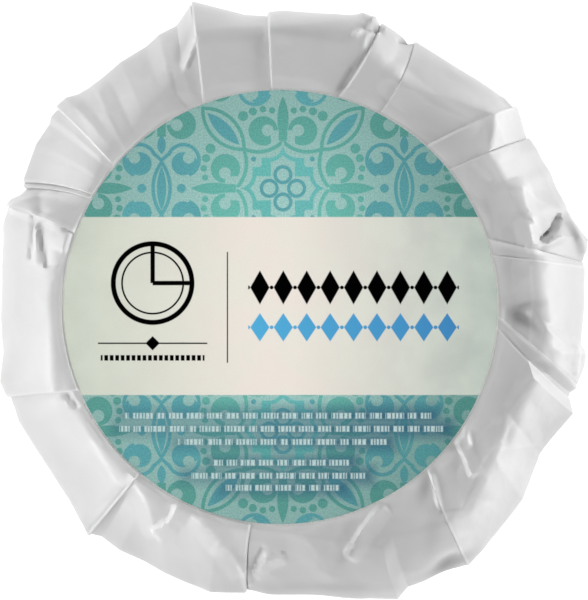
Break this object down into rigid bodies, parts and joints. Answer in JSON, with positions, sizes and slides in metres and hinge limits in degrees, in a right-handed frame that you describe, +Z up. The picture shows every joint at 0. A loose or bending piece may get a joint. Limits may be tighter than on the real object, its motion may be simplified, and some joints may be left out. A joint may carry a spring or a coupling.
{
  "type": "camembert",
  "caption": "Round soft cheese wrapped in pleated white paper, with a round patterned label on top.",
  "frame": {"origin": "middle of the outline, at the flat underside", "axes": "+Z up through the cheese and its label, +X to the right and +Y away from a reader who looks down on the label"},
  "size_m": [0.1086, 0.1106, 0.0317],
  "materials": {
    "wrapper_paper": "glossy laminated white paper",
    "label_print": "satin pearly print"
  },
  "bodies": {
    "root": {"wrapper": "wrapper_paper", "label": "label_print"}
  },
  "joints": []
}
